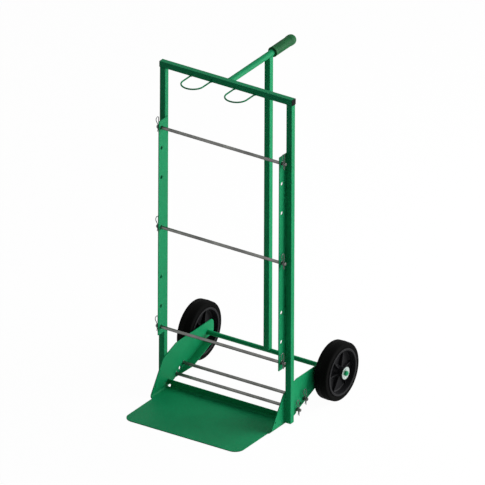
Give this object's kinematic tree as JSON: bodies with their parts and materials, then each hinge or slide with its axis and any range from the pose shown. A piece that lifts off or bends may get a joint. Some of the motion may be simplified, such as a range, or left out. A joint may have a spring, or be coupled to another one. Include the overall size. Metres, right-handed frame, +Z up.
{
  "type": "wire spool hand truck",
  "caption": "Upright square-tube hand truck with rods and hairpin clips for spools, a bent base tray, a rear handle and rubber-tyred wheels.",
  "frame": {"origin": "on the floor under the tray, on the centre line, in the plane of the uprights' front faces", "axes": "+X across to the right seen from the front looking to the rear, +Y to the rear towards the handle, +Z up"},
  "size_m": [0.7416, 0.7913, 1.4228],
  "materials": {
    "frame_paint": "green powder coat, semi-gloss",
    "black_plastic": "moulded",
    "grip_rubber": "dark green moulded rubber, fine ribs",
    "zinc": "bright zinc plate",
    "plain_steel": "cold-drawn bar",
    "spring_wire": "plated spring wire",
    "tyre_rubber": "solid rubber, matt",
    "rim_plastic": "moulded, satin",
    "bush_plastic": "moulded"
  },
  "bodies": {
    "frame": {"left_upright": "frame_paint", "right_upright": "frame_paint", "top_bar": "frame_paint", "bar_end_plugs": "black_plastic", "rear_post": "frame_paint", "handle_tube": "frame_paint", "handle_grip": "grip_rubber", "left_hole_strip": "frame_paint", "right_hole_strip": "frame_paint", "base_tray": "frame_paint", "left_guide_loop": "frame_paint", "right_guide_loop": "frame_paint", "axle": "frame_paint", "axle_washers": "zinc", "axle_split_pins": "zinc"},
    "left_wheel": {"left_tyre": "tyre_rubber", "left_wheel_rim": "rim_plastic", "left_wheel_bushes": "bush_plastic"},
    "right_wheel": {"right_tyre": "tyre_rubber", "right_wheel_rim": "rim_plastic", "right_wheel_bushes": "bush_plastic"},
    "top_rod": {"top_rod": "plain_steel", "top_rod_clips": "spring_wire"},
    "middle_rod": {"middle_rod": "plain_steel", "middle_rod_clips": "spring_wire"},
    "bottom_rod": {"bottom_rod": "plain_steel", "bottom_rod_clips": "spring_wire"},
    "rear_base_rod": {"rear_base_rod": "plain_steel", "rear_base_rod_clips": "spring_wire"},
    "front_base_rod": {"front_base_rod": "plain_steel", "front_base_rod_clips": "spring_wire"}
  },
  "joints": [
    {"name": "left_wheel_spin", "type": "hinge", "parent": "frame", "child": "left_wheel", "pos_m": [-0.31895, 0.3041, 0.12], "axis": [1, 0, 0], "continuous": true},
    {"name": "right_wheel_spin", "type": "hinge", "parent": "frame", "child": "right_wheel", "pos_m": [0.31895, 0.3041, 0.12], "axis": [1, 0, 0], "continuous": true},
    {"name": "top_rod_turn", "type": "hinge", "parent": "frame", "child": "top_rod", "pos_m": [0, -0.0276, 1.14475], "axis": [1, 0, 0], "range_deg": [-37, 190]},
    {"name": "middle_rod_turn", "type": "hinge", "parent": "frame", "child": "middle_rod", "pos_m": [0, -0.0276, 0.71295], "axis": [1, 0, 0], "range_deg": [-37, 190]},
    {"name": "bottom_rod_turn", "type": "hinge", "parent": "frame", "child": "bottom_rod", "pos_m": [0, -0.0276, 0.28115], "axis": [1, 0, 0], "range_deg": [-37, 190]},
    {"name": "rear_base_rod_turn", "type": "hinge", "parent": "frame", "child": "rear_base_rod", "pos_m": [0, 0.132, 0.0598], "axis": [1, 0, 0], "range_deg": [-200, 28]},
    {"name": "front_base_rod_turn", "type": "hinge", "parent": "frame", "child": "front_base_rod", "pos_m": [0, 0.083, 0.0328], "axis": [1, 0, 0], "range_deg": [-30, 97]}
  ]
}
